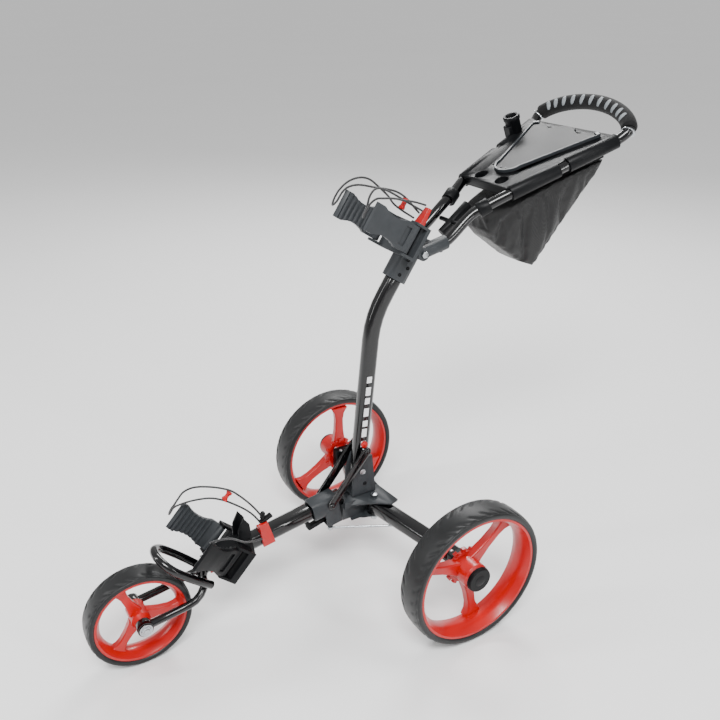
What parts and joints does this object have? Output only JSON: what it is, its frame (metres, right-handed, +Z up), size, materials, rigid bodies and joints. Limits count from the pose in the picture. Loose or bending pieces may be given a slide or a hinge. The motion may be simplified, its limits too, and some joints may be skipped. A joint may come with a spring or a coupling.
{
  "type": "golf push cart",
  "caption": "Three-wheel folding golf push cart with bag cradles, a console, a curved grip and a fabric accessory bag; no golf bag.",
  "frame": {"origin": "on the ground under the middle of the cart's box", "axes": "+X from the front wheel to the grip, +Y to the cart's right side, +Z up"},
  "size_m": [1.1622, 0.6, 0.9744],
  "materials": {
    "black_tube": "gloss",
    "red_plastic": "gloss",
    "gray_plastic": "satin",
    "dark_plastic": "satin",
    "tyre": "matte",
    "foam": "matte",
    "steel": "satin",
    "nylon": "woven",
    "cord": "woven"
  },
  "bodies": {
    "frame": {"front_tube": "black_tube", "front_fork": "black_tube", "fork_lock": "red_plastic", "front_axle": "steel", "hub_base": "gray_plastic", "hub_bracket": "gray_plastic", "mast_pivot_bolt": "steel", "arm_pivot_bolt_left": "steel", "arm_pivot_bolt_right": "steel", "lower_cradle": "dark_plastic", "bag_hoop": "black_tube", "lower_cord_anchor": "red_plastic", "lower_cord_clip": "red_plastic", "lower_cord_left": "cord", "lower_cord_right": "cord"},
    "front_wheel": {"front_tyre": "tyre", "front_rim": "red_plastic"},
    "arm_left": {"rear_arm_left": "black_tube", "axle_block_left": "dark_plastic", "rear_axle_left": "steel"},
    "arm_right": {"rear_arm_right": "black_tube", "axle_block_right": "dark_plastic", "rear_axle_right": "steel"},
    "wheel_left": {"rear_tyre_left": "tyre", "rear_rim_left": "red_plastic", "hub_cap_left": "dark_plastic"},
    "wheel_right": {"rear_tyre_right": "tyre", "rear_rim_right": "red_plastic", "hub_cap_right": "dark_plastic"},
    "mast": {"mast_tube": "black_tube", "strut_bolt": "steel", "mast_knob": "red_plastic", "upper_cradle": "gray_plastic", "handle_pivot_bolt": "steel", "upper_cord_hook": "red_plastic", "upper_cord_clip": "red_plastic", "upper_cord_left": "cord", "upper_cord_right": "cord"},
    "handle": {"handle_frame": "black_tube", "handle_yoke": "gray_plastic", "grip": "foam", "grip_ring_left": "steel", "grip_ring_right": "steel", "tube_band_left": "dark_plastic", "tube_band_right": "dark_plastic", "console_tray": "dark_plastic", "umbrella_socket": "dark_plastic", "accessory_bag": "nylon"},
    "lid": {"console_lid": "dark_plastic"},
    "lever": {"handle_lever": "dark_plastic"},
    "upper_arm_l": {"upper_arm_left": "gray_plastic"},
    "upper_arm_r": {"upper_arm_right": "gray_plastic"},
    "lower_arm_l": {"lower_arm_left": "gray_plastic"},
    "lower_arm_r": {"lower_arm_right": "gray_plastic"},
    "collar": {"slide_collar": "gray_plastic"},
    "latch": {"fold_latch": "dark_plastic"},
    "strut_l": {"strut_left": "black_tube"},
    "strut_r": {"strut_right": "black_tube"},
    "rod_l": {"rod_left": "steel"},
    "rod_r": {"rod_right": "steel"}
  },
  "joints": [
    {"name": "mast_fold", "type": "hinge", "parent": "frame", "child": "mast", "pos_m": [0.00088, 0, 0.268], "axis": [0, -1, 0], "range_deg": [0, 72]},
    {"name": "collar_slide", "type": "slide", "parent": "frame", "child": "collar", "axis": [-0.9856, 0, -0.169], "range_m": [0, 0.069]},
    {"name": "strut_swing_left", "type": "hinge", "parent": "collar", "child": "strut_l", "pos_m": [-0.07521, 0, 0.21556], "axis": [0, 1, 0], "range_deg": [0, 10]},
    {"name": "rod_swing_left", "type": "hinge", "parent": "collar", "child": "rod_l", "pos_m": [-0.07509, -0.016, 0.15571], "axis": [0, 0, 1], "range_deg": [0, 6]},
    {"name": "arm_swing_left", "type": "hinge", "parent": "frame", "child": "arm_left", "pos_m": [0.02188, -0.031, 0.19], "axis": [0, 0, -1], "range_deg": [0, 65]},
    {"name": "rear_wheel_spin_left", "type": "hinge", "parent": "arm_left", "child": "wheel_left", "pos_m": [0.09388, -0.27, 0.1475], "axis": [0, 1, 0], "continuous": true},
    {"name": "upper_arm_swing_left", "type": "hinge", "parent": "mast", "child": "upper_arm_l", "pos_m": [0.08166, -0.05, 0.75748], "axis": [0.5446, 0, 0.8387], "range_deg": [0, 25]},
    {"name": "lower_arm_swing_left", "type": "hinge", "parent": "frame", "child": "lower_arm_l", "pos_m": [-0.3065, -0.042, 0.18171], "axis": [0.682, 0, 0.7314], "range_deg": [0, 20]},
    {"name": "strut_swing_right", "type": "hinge", "parent": "collar", "child": "strut_r", "pos_m": [-0.07521, 0, 0.21556], "axis": [0, 1, 0], "range_deg": [0, 10]},
    {"name": "rod_swing_right", "type": "hinge", "parent": "collar", "child": "rod_r", "pos_m": [-0.07509, 0.016, 0.15571], "axis": [0, 0, -1], "range_deg": [0, 6]},
    {"name": "arm_swing_right", "type": "hinge", "parent": "frame", "child": "arm_right", "pos_m": [0.02188, 0.031, 0.19], "axis": [0, 0, 1], "range_deg": [0, 65]},
    {"name": "rear_wheel_spin_right", "type": "hinge", "parent": "arm_right", "child": "wheel_right", "pos_m": [0.09388, 0.27, 0.1475], "axis": [0, 1, 0], "continuous": true},
    {"name": "upper_arm_swing_right", "type": "hinge", "parent": "mast", "child": "upper_arm_r", "pos_m": [0.08166, 0.05, 0.75748], "axis": [-0.5446, 0, -0.8387], "range_deg": [0, 25]},
    {"name": "lower_arm_swing_right", "type": "hinge", "parent": "frame", "child": "lower_arm_r", "pos_m": [-0.3065, 0.042, 0.18171], "axis": [-0.682, 0, -0.7314], "range_deg": [0, 20]},
    {"name": "front_wheel_spin", "type": "hinge", "parent": "frame", "child": "front_wheel", "pos_m": [-0.48112, 0, 0.1], "axis": [0, 1, 0], "continuous": true},
    {"name": "handle_fold", "type": "hinge", "parent": "mast", "child": "handle", "pos_m": [0.1109, 0, 0.72538], "axis": [0, -1, 0], "range_deg": [0, 30]},
    {"name": "lid_hinge", "type": "hinge", "parent": "handle", "child": "lid", "pos_m": [0.32217, 0, 0.84568], "axis": [0, -1, 0], "range_deg": [0, 100]},
    {"name": "lever_swing", "type": "hinge", "parent": "handle", "child": "lever", "pos_m": [0.21032, 0, 0.76097], "axis": [0, -1, 0], "range_deg": [0, 12]},
    {"name": "latch_swing", "type": "hinge", "parent": "collar", "child": "latch", "pos_m": [-0.07419, 0, 0.17413], "axis": [0, -1, 0], "range_deg": [0, 9], "stiffness_Nm_per_rad": 0.2, "springref_deg": -20.05}
  ],
  "couplings": [
    {"joint": "collar_slide", "follows": "mast_fold", "m_per_rad": 0.054471},
    {"joint": "strut_swing_left", "follows": "mast_fold", "ratio": 0.1361},
    {"joint": "rod_swing_left", "follows": "mast_fold", "ratio": 0.0749},
    {"joint": "arm_swing_left", "follows": "mast_fold", "ratio": 0.8867},
    {"joint": "strut_swing_right", "follows": "mast_fold", "ratio": 0.1361},
    {"joint": "rod_swing_right", "follows": "mast_fold", "ratio": 0.0749},
    {"joint": "arm_swing_right", "follows": "mast_fold", "ratio": 0.8867}
  ]
}
